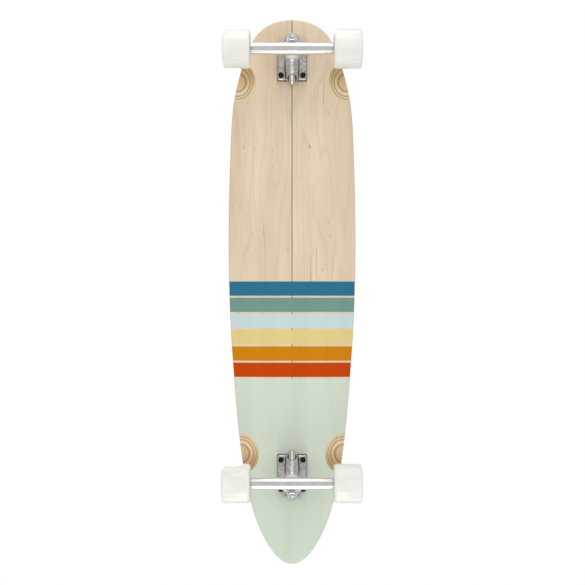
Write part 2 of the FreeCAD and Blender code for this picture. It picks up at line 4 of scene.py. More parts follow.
import bpy
import mathutils
import numpy as np
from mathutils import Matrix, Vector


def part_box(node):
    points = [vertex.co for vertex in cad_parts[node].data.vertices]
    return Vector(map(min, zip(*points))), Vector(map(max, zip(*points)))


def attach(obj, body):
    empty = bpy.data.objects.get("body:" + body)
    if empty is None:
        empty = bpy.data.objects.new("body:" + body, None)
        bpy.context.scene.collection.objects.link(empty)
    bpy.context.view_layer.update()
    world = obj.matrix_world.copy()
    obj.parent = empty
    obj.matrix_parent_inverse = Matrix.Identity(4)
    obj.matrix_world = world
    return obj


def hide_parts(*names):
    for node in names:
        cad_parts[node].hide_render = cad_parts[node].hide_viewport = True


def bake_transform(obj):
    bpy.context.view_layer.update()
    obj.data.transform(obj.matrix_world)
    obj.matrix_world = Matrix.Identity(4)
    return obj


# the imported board, wheels down, nose towards -Y; the camera looks up at its underside
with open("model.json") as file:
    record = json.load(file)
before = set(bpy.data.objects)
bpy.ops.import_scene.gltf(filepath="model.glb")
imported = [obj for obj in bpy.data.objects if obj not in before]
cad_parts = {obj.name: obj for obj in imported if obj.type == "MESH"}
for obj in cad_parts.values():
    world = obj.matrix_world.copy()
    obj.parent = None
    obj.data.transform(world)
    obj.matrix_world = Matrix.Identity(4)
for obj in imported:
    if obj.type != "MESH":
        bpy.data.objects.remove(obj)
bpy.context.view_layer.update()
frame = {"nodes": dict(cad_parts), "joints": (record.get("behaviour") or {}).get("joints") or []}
nodes = frame["nodes"]
joints = {joint["name"]: joint for joint in frame["joints"]}
scene = bpy.context.scene
scene.view_settings.view_transform = "Standard"
deckLow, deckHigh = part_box("deck")
truckEnds = ("front", "rear")
wheelNames = [end + "_" + side for end in truckEnds for side in ("left", "right")]
print("frame loaded:", len(nodes), "nodes")


# a colour as a paint card gives it, red, green and blue from 0 to 255, made linear
def card(red, green, blue):
    share = np.array([red, green, blue]) / 255
    linear = np.where(share <= 0.04045, share / 12.92, ((share + 0.055) / 1.055) ** 2.4)
    return (*linear.tolist(), 1.0)


def plug(tree, socket, value):
    if isinstance(value, bpy.types.NodeSocket):
        tree.links.new(value, socket)
    else:
        socket.default_value = value


def addNode(tree, kind, wires=None, **settings):
    made = tree.nodes.new(kind)
    for key, value in settings.items():
        setattr(made, key, value)
    for key, value in (wires or {}).items():
        plug(tree, made.inputs[key], value)
    return made


def calc(tree, operation, *values):
    return addNode(tree, "ShaderNodeMath", dict(enumerate(values)), operation=operation).outputs[0]


def vectorCalc(tree, operation, wires, output="Vector"):
    return addNode(tree, "ShaderNodeVectorMath", wires, operation=operation).outputs[output]


def splitAxes(tree, vector):
    return addNode(tree, "ShaderNodeSeparateXYZ", {0: vector}).outputs


# 0 at start, 1 at end, smooth between them; start may be the larger
def fade(tree, value, start, end):
    wires = {"Value": value, "From Min": start, "From Max": end}
    return addNode(tree, "ShaderNodeMapRange", wires, interpolation_type="SMOOTHSTEP").outputs[0]


# a 0 to 1 value spread between two numbers
def spread(tree, value, low, high):
    wires = {"Value": value, "To Min": low, "To Max": high}
    return addNode(tree, "ShaderNodeMapRange", wires).outputs[0]


def mixValue(tree, share, first, second):
    return addNode(tree, "ShaderNodeMix", {0: share, 2: first, 3: second}).outputs[0]


def mixColour(tree, share, first, second, blend="MIX"):
    wires = {0: share, 6: first, 7: second}
    return addNode(tree, "ShaderNodeMix", wires, data_type="RGBA", blend_type=blend).outputs[2]


# a colour laid over another by a share of a mask
def layOver(tree, base, colour, mask, share):
    return mixColour(tree, calc(tree, "MULTIPLY", mask, share), base, colour)


# cells are per metre along X, Y and Z
def noise(tree, vector, cells, detail, offset=0.0):
    wires = {"Vector": vector, "Location": (offset, offset, offset), "Scale": cells}
    moved = addNode(tree, "ShaderNodeMapping", wires).outputs[0]
    wires = {"Vector": moved, "Scale": 1.0, "Detail": detail}
    return addNode(tree, "ShaderNodeTexNoise", wires).outputs["Fac"]


def startGroup(name, inputs, outputs):
    group = bpy.data.node_groups.new(name, "ShaderNodeTree")
    face = group.interface
    for label, kind, value in inputs:
        socket = face.new_socket(label, in_out="INPUT", socket_type="NodeSocket" + kind)
        if value is not None:
            socket.default_value = value
    for label in outputs:
        face.new_socket(label, in_out="OUTPUT", socket_type="NodeSocketFloat")
    given = group.nodes.new("NodeGroupInput").outputs
    return group, given, group.nodes.new("NodeGroupOutput").inputs


def useGroup(tree, group, wires):
    return addNode(tree, "ShaderNodeGroup", wires, node_tree=group).outputs


# a material with a Principled surface; place is the point in the board's own frame, in metres
def startMaterial(name):
    material = bpy.data.materials.new(name)
    material.use_nodes = True
    tree = material.node_tree
    surface = tree.nodes["Principled BSDF"].inputs
    place = tree.nodes.new("ShaderNodeTexCoord").outputs["Object"]
    return material, tree, surface, place


def setBump(tree, surface, height, distance):
    wires = {"Height": height, "Distance": distance, "Strength": 1.0}
    plug(tree, surface["Normal"], addNode(tree, "ShaderNodeBump", wires).outputs[0])


def dress(material, piece):
    piece.data.materials.clear()
    piece.data.materials.append(material)


# one material on the named parts of each truck or wheel
def dressEach(material, owners, *parts):
    for owner in owners:
        for part in parts:
            dress(material, nodes[owner + "_" + part])


# shared effects

handlingLook = {
    "smudgeCells": (70, 70, 70),
    "smudgeDetail": 4.0,
    "smudge": (0.35, 0.68),
    "hairCells": (60, 2400, 2400),
    "hairDetail": 3.0,
    "hair": (0.55, 0.75),
}


# finger smudges, broad and soft, and fine hairline scratches that run one way
def buildHandling(look):
    inputs = [("Vector", "Vector", None), ("Size", "Float", 1.0)]
    group, given, out = startGroup("handling marks", inputs, ("Smudge", "Hairline"))
    vector = vectorCalc(group, "SCALE", {0: given["Vector"], "Scale": given["Size"]})
    smudge = noise(group, vector, look["smudgeCells"], look["smudgeDetail"])
    plug(group, out["Smudge"], fade(group, smudge, *look["smudge"]))
    hair = noise(group, vector, look["hairCells"], look["hairDetail"])
    plug(group, out["Hairline"], fade(group, hair, *look["hair"]))
    return group


skinLook = {
    "fineCells": (1, 1, 1),              # per grain
    "fineDetail": 3.0,
    "coarseCells": (0.32, 0.32, 0.32),
    "coarseDetail": 2.0,
    "coarseOffset": 4.0,
    "coarseShare": 0.55,
    "shade": (0.3, 0.7),
}


# the skin of a casting or a moulding: pebbles of two sizes and a slow change of shade
def buildCastSkin(look):
    inputs = [("Vector", "Vector", None), ("Grain", "Float", 900.0)]
    group, given, out = startGroup("cast skin", inputs, ("Height", "Shade"))
    vector = vectorCalc(group, "SCALE", {0: given["Vector"], "Scale": given["Grain"]})
    fine = noise(group, vector, look["fineCells"], look["fineDetail"])
    coarse = noise(group, vector, look["coarseCells"], look["coarseDetail"], look["coarseOffset"])
    plug(group, out["Height"], spread(group, look["coarseShare"], fine, coarse))
    plug(group, out["Shade"], fade(group, coarse, *look["shade"]))
    return group


mapleLook = {
    "bendCells": (7, 3.5, 1),
    "bendDetail": 1.0,
    "bendOffset": 21.0,
    "bend": 0.016,
    "leafShift": 3.7,
    "contourCells": (17, 1.7, 1),
    "contourDetail": 1.5,
    "contourOffset": 2.0,
    "contours": 11,
    "contour": (0.16, 0.02),
    # each mark has its cells, where it starts and is full, detail and offset
    "tone": ((26, 3.0, 1), 0.3, 0.7, 3.0, 0.0),
    "blush": ((15, 2.2, 1), 0.42, 0.7, 2.0, 17.0),
    "grain": ((620, 14, 1), 0.35, 0.7, 3.0, 5.0),
    "fleck": ((360, 48, 1), 0.67, 0.76, 1.0, 9.0),
    "fleckPlaces": ((24, 11, 1), 0.54, 0.66, 1.0, 13.0),
    "streak": ((250, 7, 1), 0.64, 0.72, 1.5, 31.0),
    "streakPlaces": ((15, 5, 1), 0.5, 0.62, 1.0, 37.0),
}


# maple along Y, another leaf each side of X = 0; slow bends keep its lines from running dead straight
def buildMaple(look):
    group, given, out = startGroup("maple figure", [("Vector", "Vector", None)],
                                   ("Tone", "Blush", "Figure", "Grain", "Fleck", "Streak"))
    axes = splitAxes(group, given["Vector"])
    bend = noise(group, given["Vector"], look["bendCells"], look["bendDetail"], look["bendOffset"])
    across = calc(group, "ADD", axes["X"], spread(group, bend, -look["bend"], look["bend"]))
    leaf = calc(group, "MULTIPLY", calc(group, "SIGN", axes["X"]), look["leafShift"])
    along = calc(group, "ADD", axes["Y"], leaf)
    vector = addNode(group, "ShaderNodeCombineXYZ", {"X": across, "Y": along}).outputs[0]

    def mark(name):
        cells, start, end, detail, offset = look[name]
        return fade(group, noise(group, vector, cells, detail, offset), start, end)

    for label in ("Tone", "Blush", "Grain"):
        plug(group, out[label], mark(label.lower()))
    for label in ("Fleck", "Streak"):
        marks = calc(group, "MULTIPLY", mark(label.lower()), mark(label.lower() + "Places"))
        plug(group, out[label], marks)
    slope = noise(group, vector, look["contourCells"], look["contourDetail"], look["contourOffset"])
    contour = calc(group, "PINGPONG", calc(group, "MULTIPLY", slope, look["contours"]), 0.5)
    plug(group, out["Figure"], fade(group, contour, *look["contour"]))
    return group


handling = buildHandling(handlingLook)
castSkin = buildCastSkin(skinLook)
maple = buildMaple(mapleLook)
print("shared effects built:", len(bpy.data.node_groups))


# deck

deckLook = {
    "flatHalfWidth": 0.042,
    "concaveRise": 0.0065,
    "plies": 8,
    "printDepth": 0.0011,               # how far up the rounded rim the print reaches
    "wellPrintDepth": 0.00008,          # in a sanded well it ends at the first cut
    "wellRadius": 0.140,
    "wellSlack": 0.0006,
    "wellDepth": 0.0052,
    "wells": {"front": (0.10124, -0.3925), "rear": (0.09473, 0.3025)},
    "veneerLight": card(235, 218, 191),
    "veneerDark": card(225, 204, 177),
    "veneerMarks": {                    # how strongly each shows, and its colour
        "Blush": (0.6, card(221, 196, 168)),
        "Figure": (0.24, card(205, 178, 146)),
        "Grain": (0.3, card(212, 189, 160)),
        "Streak": (0.6, card(158, 128, 100)),
        "Fleck": (0.65, card(128, 96, 72)),
    },
    "stringer": card(134, 107, 82),
    "stringerHalfWidth": (0.001125, 0.00054),    # where it starts, where it is full
    "plyLight": card(241, 221, 185),
    "plyDark": card(230, 205, 164),
    "plyGrain": 0.2,
    # painted shadow of the wheel in the wells: the plies darken towards the wheel, between these reaches
    # inboard and outboard of a well
    "plyWheelShade": card(176, 142, 98),    # where a well comes nearest the wheel
    "rubAndShadeShare": 0.75,
    "wheelShadeInboard": 0.026,
    "wheelShadeOutboard": 0.022,
    "glue": card(146, 113, 70),
    "glueLine": (0.000336, 0.000072),
    # the glue lines are painted stronger in the wheel's painted shadow
    "glueShare": (0.6, 0.85),           # far from the wheel, near it
    "noseToStripes": 0.4883,
    "stripePitch": 0.0302,
    "stripeWidth": 0.0266,
    "stripes": [card(43, 114, 144), card(117, 152, 141), card(199, 218, 217),
                card(227, 206, 137), card(209, 131, 4), card(198, 68, 0)],
    "tail": card(210, 220, 203),
    "printUneven": (0.97, 1.02),
    "rough": (0.36, 0.55),              # finished face, bare ply
    "specular": 0.1,
    "grainRelief": -0.5,
    "relief": 0.00008,
}


def concaveRadius(look):
    run = deckHigh.x - look["flatHalfWidth"]
    return (run ** 2 + look["concaveRise"] ** 2) / (2 * look["concaveRise"])


# the print as a ramp along the board: bare wood, six stripes with bare gaps, then the tail colour
def stripeRamp(tree, look, along):
    gap = look["stripePitch"] - look["stripeWidth"]
    start = look["noseToStripes"] - gap
    length = gap + len(look["stripes"]) * look["stripePitch"]
    share = calc(tree, "DIVIDE", calc(tree, "SUBTRACT", along, start), length)
    ramp = addNode(tree, "ShaderNodeValToRGB", {"Fac": share})
    ramp.color_ramp.interpolation = "CONSTANT"
    bare = (*look["tail"][:3], 0.0)
    stops = [(0.0, bare)]
    for count, colour in enumerate(look["stripes"]):
        low = gap + count * look["stripePitch"]
        stops += [(low / length, colour), ((low + look["stripeWidth"]) / length, bare)]
    stops.append((1.0, look["tail"]))
    while len(ramp.color_ramp.elements) < len(stops):
        ramp.color_ramp.elements.new(1.0)
    for element, (position, colour) in zip(ramp.color_ramp.elements, stops):
        element.position = position
        element.color = colour
    return ramp.outputs["Color"], ramp.outputs["Alpha"]


# 1 on the dishes sanded for the wheels, found by their distance from the middle of the cutting sphere,
# which stands square to the underside below the rim; and how far each point lies towards its wheel, which
# sets the painted shadow of the wheel in the well
def wellMask(tree, look, fromMiddle, axes, radius):
    wires = {"X": fromMiddle, "Y": axes["Y"], "Z": axes["Z"]}
    folded = addNode(tree, "ShaderNodeCombineXYZ", wires).outputs[0]
    flat, limit = look["flatHalfWidth"], look["wellRadius"] + look["wellSlack"]
    reach = radius - look["wellDepth"] + look["wellRadius"]
    masks, wheelShades = [], []
    for x, y in look["wells"].values():
        tilt = math.asin((x - flat) / radius)
        middle = (flat + reach * math.sin(tilt), y, deckLow.z + radius - reach * math.cos(tilt))
        away = vectorCalc(tree, "DISTANCE", {0: folded, 1: middle}, "Value")
        masks.append(calc(tree, "LESS_THAN", away, limit))
        inboard = y - math.copysign(look["wheelShadeInboard"], y)
        outboard = y + math.copysign(look["wheelShadeOutboard"], y)
        wheelShades.append(calc(tree, "MULTIPLY", fade(tree, axes["Y"], inboard, outboard), masks[-1]))
    return calc(tree, "MAXIMUM", *masks), calc(tree, "MAXIMUM", *wheelShades)


def makeDeckMaterial(look):
    material, tree, surface, place = startMaterial("printed maple ply")
    axes = splitAxes(tree, place)
    fromMiddle = calc(tree, "ABSOLUTE", axes["X"])

    # depth into the board from its underside, which is flat in the middle and rises on an arc
    # of this radius at the sides: radius - sqrt(run^2 + drop^2)
    radius = concaveRadius(look)
    run = calc(tree, "MAXIMUM", calc(tree, "SUBTRACT", fromMiddle, look["flatHalfWidth"]), 0.0)
    drop = calc(tree, "SUBTRACT", deckLow.z + radius, axes["Z"])
    squares = [calc(tree, "MULTIPLY", side, side) for side in (run, drop)]
    depth = calc(tree, "SUBTRACT", radius, calc(tree, "SQRT", calc(tree, "ADD", *squares)))

    # the clear-finished face leaf, with the dark line where its two halves meet
    figure = useGroup(tree, maple, {"Vector": place})
    face = mixColour(tree, figure["Tone"], look["veneerDark"], look["veneerLight"])
    for mark, (share, colour) in look["veneerMarks"].items():
        face = layOver(tree, face, colour, figure[mark], share)
    seam = fade(tree, fromMiddle, *look["stringerHalfWidth"])
    face = mixColour(tree, seam, face, look["stringer"])

    # the print lies over it, a little uneven with the grain below
    ink, printed = stripeRamp(tree, look, calc(tree, "SUBTRACT", axes["Y"], deckLow.y))
    uneven = spread(tree, figure["Tone"], *look["printUneven"])
    shade = addNode(tree, "ShaderNodeCombineColor", {0: uneven, 1: uneven, 2: uneven}).outputs[0]
    face = mixColour(tree, printed, face, mixColour(tree, 1.0, ink, shade, "MULTIPLY"))

    # bare plies on the rim and in the wells: every second leaf darker, a glue line between leaves
    leaf = (deckHigh.z - deckLow.z - look["concaveRise"]) / look["plies"]
    count = calc(tree, "DIVIDE", depth, leaf)
    dark = calc(tree, "MODULO", calc(tree, "FLOOR", count), 2.0)
    edge = calc(tree, "MULTIPLY", calc(tree, "PINGPONG", count, 0.5), leaf)
    glue = fade(tree, edge, *look["glueLine"])
    inWell, paintedWheelShade = wellMask(tree, look, fromMiddle, axes, radius)
    ply = mixColour(tree, dark, look["plyLight"], look["plyDark"])
    ply = layOver(tree, ply, look["glue"], figure["Grain"], look["plyGrain"])
    # painted shadow of the wheel: the plies darken and the glue lines grow stronger towards the wheel
    ply = layOver(tree, ply, look["plyWheelShade"], paintedWheelShade, look["rubAndShadeShare"])
    ply = layOver(tree, ply, look["glue"], glue, spread(tree, paintedWheelShade, *look["glueShare"]))

    limit = spread(tree, inWell, look["printDepth"], look["wellPrintDepth"])
    bare = calc(tree, "GREATER_THAN", depth, limit)
    plug(tree, surface["Base Color"], mixColour(tree, bare, face, ply))
    plug(tree, surface["Roughness"], spread(tree, bare, *look["rough"]))
    surface["Specular IOR Level"].default_value = look["specular"]
    grain = calc(tree, "MULTIPLY", figure["Grain"], look["grainRelief"])
    height = calc(tree, "SUBTRACT", grain, calc(tree, "MULTIPLY", glue, bare))
    setBump(tree, surface, height, look["relief"])
    return material


dress(makeDeckMaterial(deckLook), nodes["deck"])

gripLook = {
    "grainCells": (2300, 2300, 2300),
    "grainDetail": 2.0,
    "patchCells": (14, 14, 14),
    "patchDetail": 3.0,
    "valley": card(12, 12, 13),
    "crest": card(35, 35, 37),
    "crestFrom": (0.35, 0.75),
    "glint": card(120, 120, 122),
    "glintFrom": (0.71, 0.78),
    "glintShare": 0.8,
    "patchShare": 0.35,
    "rough": (0.95, 0.6),
    "depth": 0.0005,
}


# black abrasive grains of about half a millimetre, lighter on their crests and darker in the valleys
# between, with a painted glint on the highest
def makeGripMaterial(look):
    material, tree, surface, place = startMaterial("abrasive sheet")
    grain = noise(tree, place, look["grainCells"], look["grainDetail"])
    patch = noise(tree, place, look["patchCells"], look["patchDetail"])
    colour = mixColour(tree, fade(tree, grain, *look["crestFrom"]), look["valley"], look["crest"])
    bright = fade(tree, grain, *look["glintFrom"])
    colour = layOver(tree, colour, look["glint"], bright, look["glintShare"])
    colour = layOver(tree, colour, look["valley"], patch, look["patchShare"])
    plug(tree, surface["Base Color"], colour)
    plug(tree, surface["Roughness"], spread(tree, grain, *look["rough"]))
    setBump(tree, surface, grain, look["depth"])
    return material


dress(makeGripMaterial(gripLook), nodes["grip_tape"])
print("deck and grip tape dressed")


# metals

# size is how many times smaller the handling marks are
metalLook = {
    "polished": {"base": card(236, 236, 236), "dull": card(226, 226, 225),
                 "rough": (0.15, 0.23), "size": 1.0},
    "chrome": {"base": card(228, 230, 232), "dull": card(205, 207, 210),
               "rough": (0.06, 0.2), "size": 2.5},
    "bolt": {"base": card(213, 208, 201), "dull": card(189, 184, 177),
             "rough": (0.07, 0.18), "size": 2.5},
    "zinc": {"base": card(208, 208, 205), "dull": card(182, 181, 176),
             "rough": (0.24, 0.42), "size": 3.0},
    "ground": {"base": card(218, 219, 221), "dull": card(190, 191, 194),
               "rough": (0.16, 0.3), "size": 4.0},
}
scratchLook = {"rough": 0.06, "depth": 0.000006}


def makeMetal(name, look):
    material, tree, surface, place = startMaterial(name)
    marks = useGroup(tree, handling, {"Vector": place, "Size": look["size"]})
    plug(tree, surface["Base Color"], mixColour(tree, marks["Smudge"], look["base"], look["dull"]))
    scratched = calc(tree, "MULTIPLY", marks["Hairline"], scratchLook["rough"])
    rough = calc(tree, "ADD", spread(tree, marks["Smudge"], *look["rough"]), scratched)
    plug(tree, surface["Roughness"], rough)
    surface["Metallic"].default_value = 1.0
    setBump(tree, surface, marks["Hairline"], scratchLook["depth"])
    return material


# the kingpin runs through the middle of the lean joint, square to its axis, away from the deck
def kingpinLine(end):
    joint = joints[end + "_lean"]
    line = np.cross(joint["axis"], [1.0, 0.0, 0.0])
    return np.array(joint["pos_m"]), line * -np.sign(line[2])


castLook = {
    "bright": card(216, 216, 213),
    "dark": card(170, 170, 167),
    "grain": 780.0,
    "depth": 0.00028,
    "rough": (0.26, 0.44),
    "smudgeSize": 1.5,
    "smudgeShare": 0.25,
    "axles": (-0.4355, 0.3455),
    # painted shade in the corners beside the boss and in the arch round the kingpin's head
    "creaseShade": card(70, 69, 67),
    "creaseShadeShare": 0.85,
    "cornerAt": 0.0122,                 # the corners beside the boss
    "cornerWidth": (0.0013, 0.00039),
    "cornerFrom": (-0.004, -0.010),     # measured outboard of the axle
    "headBore": (0.0093, 0.0089),       # the arch round the kingpin's head
    "buffed": card(236, 237, 238),      # the pivot housing
    "buffedFrom": (0.010, 0.014),       # measured outboard of the axle
    "buffedHalfWidth": (0.0125, 0.0105),
    "buffedRough": 0.14,
    "buffedRelief": 0.15,
}


def makeCastMetal(look):
    material, tree, surface, place = startMaterial("sand-cast aluminium")
    skin = useGroup(tree, castSkin, {"Vector": place, "Grain": look["grain"]})
    marks = useGroup(tree, handling, {"Vector": place, "Size": look["smudgeSize"]})
    colour = mixColour(tree, skin["Shade"], look["dark"], look["bright"])
    colour = layOver(tree, colour, look["dark"], marks["Smudge"], look["smudgeShare"])
    axes = splitAxes(tree, place)
    across = calc(tree, "ABSOLUTE", axes["X"])
    noseward, tailward = look["axles"]
    outboard = calc(tree, "MAXIMUM", calc(tree, "SUBTRACT", noseward, axes["Y"]),
                    calc(tree, "SUBTRACT", axes["Y"], tailward))

    # painted shade in the corners and round the kingpin's head, whose line is this far away:
    # the length of (place - start) x axis
    gap = calc(tree, "ABSOLUTE", calc(tree, "SUBTRACT", across, look["cornerAt"]))
    corner = calc(tree, "MULTIPLY", fade(tree, gap, *look["cornerWidth"]),
                  fade(tree, outboard, *look["cornerFrom"]))
    away = []
    for end in truckEnds:
        start, axis = kingpinLine(end)
        offset = vectorCalc(tree, "SUBTRACT", {0: place, 1: tuple(start)})
        turned = vectorCalc(tree, "CROSS_PRODUCT", {0: offset, 1: tuple(axis)})
        away.append(vectorCalc(tree, "LENGTH", {0: turned}, "Value"))
    bore = fade(tree, calc(tree, "MINIMUM", *away), *look["headBore"])
    paintedCreaseShade = calc(tree, "MAXIMUM", corner, bore)
    colour = layOver(tree, colour, look["creaseShade"], paintedCreaseShade, look["creaseShadeShare"])

    # the pivot housing is rubbed bright and smooth
    buffed = calc(tree, "MULTIPLY", fade(tree, outboard, *look["buffedFrom"]),
                  fade(tree, across, *look["buffedHalfWidth"]))
    plug(tree, surface["Base Color"], mixColour(tree, buffed, colour, look["buffed"]))
    rough = spread(tree, skin["Height"], *look["rough"])
    plug(tree, surface["Roughness"], mixValue(tree, buffed, rough, look["buffedRough"]))
    surface["Metallic"].default_value = 1.0
    relief = spread(tree, buffed, 1.0, look["buffedRelief"])
    setBump(tree, surface, calc(tree, "MULTIPLY", skin["Height"], relief), look["depth"])
    return material


blackLook = {"base": card(22, 22, 23), "rubbed": card(62, 60, 58), "rubAndShadeShare": 0.5,
             "rough": (0.3, 0.5), "metallic": 0.5, "size": 4.0, "depth": 0.00002}


def makeBlackSteel(look):
    material, tree, surface, place = startMaterial("black oxide steel")
    marks = useGroup(tree, handling, {"Vector": place, "Size": look["size"]})
    colour = layOver(tree, look["base"], look["rubbed"], marks["Hairline"], look["rubAndShadeShare"])
    plug(tree, surface["Base Color"], colour)
    plug(tree, surface["Roughness"], spread(tree, marks["Smudge"], *look["rough"]))
    surface["Metallic"].default_value = look["metallic"]
    setBump(tree, surface, marks["Smudge"], look["depth"])
    return material


polished = makeMetal("polished aluminium", metalLook["polished"])
chrome = makeMetal("bright chrome", metalLook["chrome"])
boltSteel = makeMetal("bright bolt steel", metalLook["bolt"])
zinc = makeMetal("zinc-plated steel", metalLook["zinc"])
ground = makeMetal("ground bearing steel", metalLook["ground"])
blackSteel = makeBlackSteel(blackLook)
dressEach(makeCastMetal(castLook), truckEnds, "baseplate")
dressEach(polished, truckEnds, "hanger")
dressEach(chrome, truckEnds, "bushing_washers", "kingpin_nut")
dressEach(zinc, truckEnds, "axle_nuts", "speed_washers", "bearing_spacers")
dressEach(ground, truckEnds, "bearing_inner_races")
dressEach(ground, wheelNames, "bearing_outer_races", "bearing_balls", "bearing_shields")
dressEach(blackSteel, truckEnds, "mounting_nuts")
print("metals dressed")


# rubbers and plastics

softLook = {
    "riser": {"base": card(24, 24, 25), "other": card(38, 38, 38),
              "rough": (0.6, 0.85), "grain": 1500.0, "depth": 0.0001},
    "core": {"base": card(240, 239, 232), "other": card(231, 230, 222),
             "rough": (0.3, 0.45), "grain": 1200.0, "depth": 0.00003},
    "cup": {"base": card(222, 221, 212), "other": card(205, 204, 194),
            "rough": (0.4, 0.6), "grain": 900.0, "depth": 0.00004},
    "cage": {"base": card(226, 216, 186), "other": card(214, 203, 170),
             "rough": (0.4, 0.6), "grain": 1500.0, "depth": 0.00002},
    "insert": {"base": card(216, 216, 210), "other": card(198, 198, 192),
               "rough": (0.35, 0.55), "grain": 2500.0, "depth": 0.00002},
}


def makeMoulded(name, look):
    material, tree, surface, place = startMaterial(name)
    skin = useGroup(tree, castSkin, {"Vector": place, "Grain": look["grain"]})
    plug(tree, surface["Base Color"], mixColour(tree, skin["Shade"], look["base"], look["other"]))
    plug(tree, surface["Roughness"], spread(tree, skin["Height"], *look["rough"]))
    setBump(tree, surface, skin["Height"], look["depth"])
    return material


urethaneLook = {
    "wheel": {"base": card(242, 241, 235), "deep": card(238, 237, 230),
              "rough": (0.1, 0.14), "scatter": 0.25, "scratch": 0.000001},
    "bushing": {"base": card(236, 236, 231), "deep": card(226, 225, 217),
                "rough": (0.22, 0.38), "scatter": 0.35, "scratch": 0.000012},
}
milkLook = {"cloudCells": (38, 38, 38), "cloudDetail": 3.0, "cloud": (0.3, 0.75),
            "smudgeSize": 1.2, "scatterRadius": (0.004, 0.0038, 0.0034)}


# cast urethane: milky, faintly uneven, smooth where it was turned
def makeUrethane(name, look):
    material, tree, surface, place = startMaterial(name)
    marks = useGroup(tree, handling, {"Vector": place, "Size": milkLook["smudgeSize"]})
    cloud = noise(tree, place, milkLook["cloudCells"], milkLook["cloudDetail"])
    milky = fade(tree, cloud, *milkLook["cloud"])
    plug(tree, surface["Base Color"], mixColour(tree, milky, look["base"], look["deep"]))
    plug(tree, surface["Roughness"], spread(tree, marks["Smudge"], *look["rough"]))
    surface["Subsurface Weight"].default_value = look["scatter"]
    surface["Subsurface Radius"].default_value = milkLook["scatterRadius"]
    surface["Subsurface Scale"].default_value = 1.0
    setBump(tree, surface, marks["Hairline"], look["scratch"])
    return material


dressEach(makeMoulded("rubber sheet", softLook["riser"]), truckEnds, "riser_pad")
dressEach(makeMoulded("white core plastic", softLook["core"]), wheelNames, "core")
dressEach(makeMoulded("pivot cup plastic", softLook["cup"]), truckEnds, "pivot_cup")
dressEach(makeMoulded("cage plastic", softLook["cage"]), wheelNames, "bearing_cages")
dressEach(makeUrethane("wheel urethane", urethaneLook["wheel"]), wheelNames, "tyre")
print("rubbers and plastics dressed")


# new pieces, each made of grids of points that are closed round their columns

# quads between each row and the next, the last column joined to the first; a ring also joins
# its last row to its first, and any other grid is shut by a fan at both ends
def makePiece(name, grids, ring, sharpAngle=40.0):
    corners, faces, base = [], [], 0
    for grid in grids:
        rows, columns = grid.shape[:2]
        index = base + np.arange(rows * columns).reshape(rows, columns)
        lower = index if ring else index[:-1]
        upper = np.roll(index, -1, 0) if ring else index[1:]
        quads = np.stack([lower, np.roll(lower, -1, 1), np.roll(upper, -1, 1), upper], -1)
        faces += quads.reshape(-1, 4).tolist()
        corners.append(grid.reshape(-1, 3))
        base += rows * columns
        if not ring:
            corners.append(grid[[0, -1]].mean(1))
            for tip, rim in ((base, index[0, ::-1]), (base + 1, index[-1])):
                faces += np.stack([rim, np.roll(rim, -1), np.full_like(rim, tip)], -1).tolist()
            base += 2
    mesh = bpy.data.meshes.new(name)
    mesh.from_pydata(np.vstack(corners).tolist(), [], faces)
    mesh.polygons.foreach_set("use_smooth", np.ones(len(mesh.polygons), bool))
    mesh.set_sharp_from_angle(angle=math.radians(sharpAngle))
    piece = bpy.data.objects.new(name, mesh)
    scene.collection.objects.link(piece)
    return piece


# start + along * axis + radius * (cos turn * side + sin turn * up), for each turn of the columns
def turnedGrid(radius, along, start, axis, turn):
    axis = np.array(axis) / np.linalg.norm(axis)
    side = np.array([1.0, 0.0, 0.0]) if abs(axis[0]) < 0.5 else np.array([0.0, 0.0, 1.0])
    up = np.cross(axis, side)
    circle = np.cos(turn)[:, None] * side + np.sin(turn)[:, None] * up
    spine = np.array(start) + along[:, None] * axis
    return spine[:, None, :] + radius[..., None] * circle[None]


def fullTurn(steps):
    return np.arange(steps) * (2 * math.pi / steps)


# how far a node reaches along a line, lowest and highest
def reachAlong(node, start, axis):
    points = np.empty(len(nodes[node].data.vertices) * 3)
    nodes[node].data.vertices.foreach_get("co", points)
    along = (points.reshape(-1, 3) - start) @ np.array(axis)
    return along.min(), along.max()


bushingLook = {"bore": 0.00495, "radius": 0.0122, "tipRadius": 0.0100, "bulge": 0.0009,
               "round": 0.0016, "rows": 28, "turn": 64}


# a ring: the outside runs from one end radius to the other, swells as a half sine and turns in
# at both ends on a quarter round, and the bore runs straight back
def bushingGrid(look, low, high, highRadius, start, axis):
    share = np.linspace(0, 1, look["rows"])
    along = low + (high - low) * share
    inset = np.clip(look["round"] - np.minimum(along - low, high - along), 0, look["round"])
    corner = look["round"] - np.sqrt(look["round"] ** 2 - inset ** 2)
    taper = look["radius"] + (highRadius - look["radius"]) * share
    outside = taper + look["bulge"] * np.sin(math.pi * share) - corner
    radius = np.concatenate([outside, np.full(look["rows"], look["bore"])])
    rings = np.repeat(radius[:, None], look["turn"], 1)
    there = np.concatenate([along, along[::-1]])
    return turnedGrid(rings, there, start, axis, fullTurn(look["turn"]))


bushingUrethane = makeUrethane("bushing urethane", urethaneLook["bushing"])
for end in truckEnds:
    start, axis = kingpinLine(end)
    for side, tip in (("boardside", bushingLook["radius"]), ("roadside", bushingLook["tipRadius"])):
        node = end + "_" + side + "_bushing"
        low, high = reachAlong(node, start, axis)
        grid = bushingGrid(bushingLook, low, high, tip, start, axis)
        piece = makePiece(node + "_cast", [grid], True)
        dress(bushingUrethane, piece)
        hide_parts(node)
        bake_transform(piece)
print("bushings made")

threadLook = {"rows": 10, "turn": 48, "depth": 0.55}    # rows and depth are per pitch


